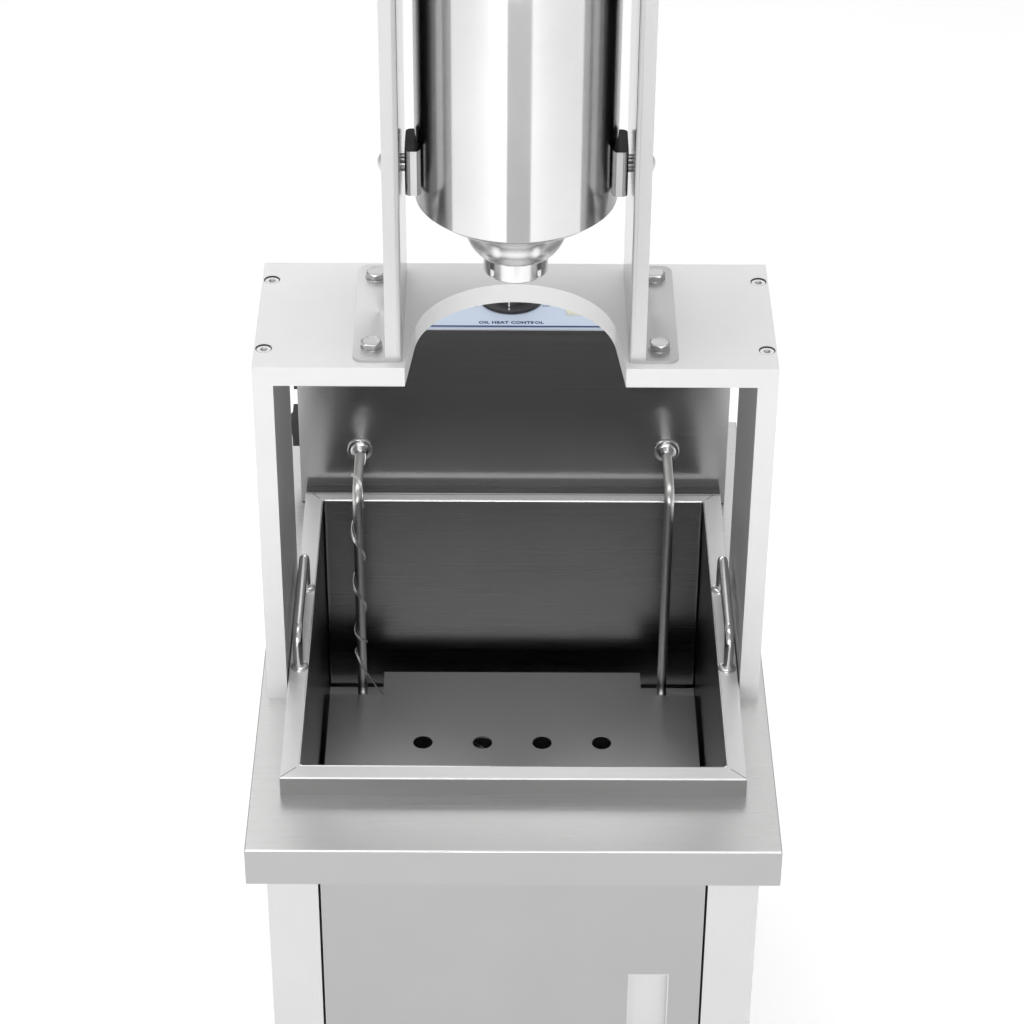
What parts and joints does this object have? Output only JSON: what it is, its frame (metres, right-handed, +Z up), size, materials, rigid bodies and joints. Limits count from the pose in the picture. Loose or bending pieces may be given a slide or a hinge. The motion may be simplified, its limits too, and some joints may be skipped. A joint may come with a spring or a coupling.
{
  "type": "donut maker",
  "caption": "Floor-standing churro and donut maker: cabinet with lift-out fryer tank, bridge, tilting dough cylinder and rack-and-pinion press",
  "frame": {"origin": "on the floor under the centre of the overall box", "axes": "+Z up, front towards -Y, +X to the right of a person who stands at the front"},
  "size_m": [0.485, 0.7, 1.841],
  "materials": {
    "brushed_steel": "brushed stainless sheet, fine grain",
    "panel_steel": "brushed stainless sheet on the cabinet",
    "tank_steel": "deep drawn stainless, satin",
    "polished_steel": "mirror polished stainless",
    "bright_bar": "bright drawn stainless bar",
    "matte_aluminium": "bead blasted and clear anodised plate",
    "upright_steel": "satin folded stainless",
    "fastener_steel": "bright stainless fasteners",
    "gear_steel": "machined steel",
    "bronze": "oiled bronze bush",
    "food_plastic": "white food-grade plastic",
    "seal_rubber": "white food-grade rubber",
    "foot_rubber": "black rubber foot",
    "black_plastic": "black moulded plastic",
    "grip_plastic": "black textured grip",
    "label_film": "light blue printed film",
    "lamp_lens": "amber lamp lens",
    "heater_tube": "heating element sheath"
  },
  "bodies": {
    "cabinet": {"worktop": "brushed_steel", "worktop_subframe": "panel_steel", "post_front_left": "panel_steel", "post_front_right": "panel_steel", "post_rear_left": "panel_steel", "post_rear_right": "panel_steel", "side_panel_left": "panel_steel", "side_panel_right": "panel_steel", "back_panel": "panel_steel", "cabinet_floor": "panel_steel", "levelling_feet": "foot_rubber", "bridge_top_plate": "matte_aluminium", "bridge_side_plate_left": "matte_aluminium", "bridge_side_plate_right": "matte_aluminium", "bridge_cap_screws": "fastener_steel", "bridge_base_screws": "fastener_steel", "upright_left": "upright_steel", "upright_right": "upright_steel", "upright_bolts": "fastener_steel", "crosshead_plate": "matte_aluminium", "crosshead_bolts": "fastener_steel", "gear_housing": "matte_aluminium", "housing_cover": "matte_aluminium", "cover_screws": "fastener_steel", "rack_guides": "bronze", "shaft_bushes": "bronze"},
    "door": {"door": "panel_steel", "door_cup_pull": "panel_steel", "door_hinge_pins": "bright_bar"},
    "cylinder": {"dough_cylinder": "polished_steel", "dough_funnel": "polished_steel", "cylinder_lugs": "polished_steel", "trunnion_pins": "polished_steel"},
    "nozzle": {"star_nozzle": "food_plastic", "nozzle_gasket": "seal_rubber"},
    "ring_nut": {"nozzle_nut": "polished_steel"},
    "press": {"rack": "gear_steel", "rack_stop_cap": "gear_steel", "piston_disc": "food_plastic", "piston_seal": "seal_rubber", "piston_nut": "fastener_steel"},
    "crank": {"pinion": "gear_steel", "crank_shaft": "bright_bar", "crank_arm": "upright_steel", "crank_grip_pin": "bright_bar"},
    "grip": {"crank_grip": "grip_plastic"},
    "tank": {"oil_tank": "tank_steel", "tank_handles": "bright_bar"},
    "head": {"head_housing": "panel_steel", "head_back_cover": "panel_steel", "control_label": "label_film", "pilot_lamp": "lamp_lens", "thermostat_body": "black_plastic", "switch_body": "black_plastic", "inlet_gland": "black_plastic", "heating_element": "heater_tube", "element_nuts": "fastener_steel"},
    "guard": {"element_guard": "panel_steel"},
    "dial": {"thermostat_dial": "black_plastic"},
    "rocker": {"rocker": "black_plastic"}
  },
  "joints": [
    {"name": "door_hinge", "type": "hinge", "parent": "cabinet", "child": "door", "pos_m": [-0.1715, -0.327, 0.35], "axis": [0, 0, -1], "range_deg": [0, 100]},
    {"name": "cylinder_tilt", "type": "hinge", "parent": "cabinet", "child": "cylinder", "pos_m": [0, -0.0395, 1.172], "axis": [1, 0, 0], "range_deg": [0, 70]},
    {"name": "nozzle_drop", "type": "slide", "parent": "cylinder", "child": "nozzle", "axis": [0, 0, -1], "range_m": [0, 0.013]},
    {"name": "nut_unscrew", "type": "hinge", "parent": "nozzle", "child": "ring_nut", "pos_m": [0, -0.0395, 1.072], "axis": [0, 0, -1], "range_deg": [0, 1170.01]},
    {"name": "rack_slide", "type": "slide", "parent": "cabinet", "child": "press", "axis": [0, 0, 1], "range_m": [-0.273, 0]},
    {"name": "crank_turn", "type": "hinge", "parent": "cabinet", "child": "crank", "pos_m": [0, -0.0125, 1.51], "axis": [1, 0, 0], "range_deg": [0, 870]},
    {"name": "grip_spin", "type": "hinge", "parent": "crank", "child": "grip", "pos_m": [0.139, -0.12718, 1.4297], "axis": [1, 0, 0], "continuous": true},
    {"name": "tank_lift", "type": "slide", "parent": "cabinet", "child": "tank", "axis": [0, 0, 1], "range_m": [0, 0.23]},
    {"name": "head_lift", "type": "slide", "parent": "tank", "child": "head", "axis": [0, 0, 1], "range_m": [0, 0.235]},
    {"name": "guard_lift", "type": "slide", "parent": "head", "child": "guard", "axis": [0, 0, -1], "range_m": [-0.235, 0]},
    {"name": "dial_turn", "type": "hinge", "parent": "head", "child": "dial", "pos_m": [-0.003, 0.257, 0.852], "axis": [0, 0, -1], "range_deg": [0, 270]},
    {"name": "rocker_tilt", "type": "hinge", "parent": "head", "child": "rocker", "pos_m": [-0.2245, 0.25, 0.7], "axis": [0, 1, 0], "range_deg": [0, 16]}
  ],
  "couplings": [
    {"joint": "crank_turn", "follows": "rack_slide", "rad_per_m": -55.556},
    {"joint": "nozzle_drop", "follows": "nut_unscrew", "m_per_rad": 0.00063662}
  ]
}
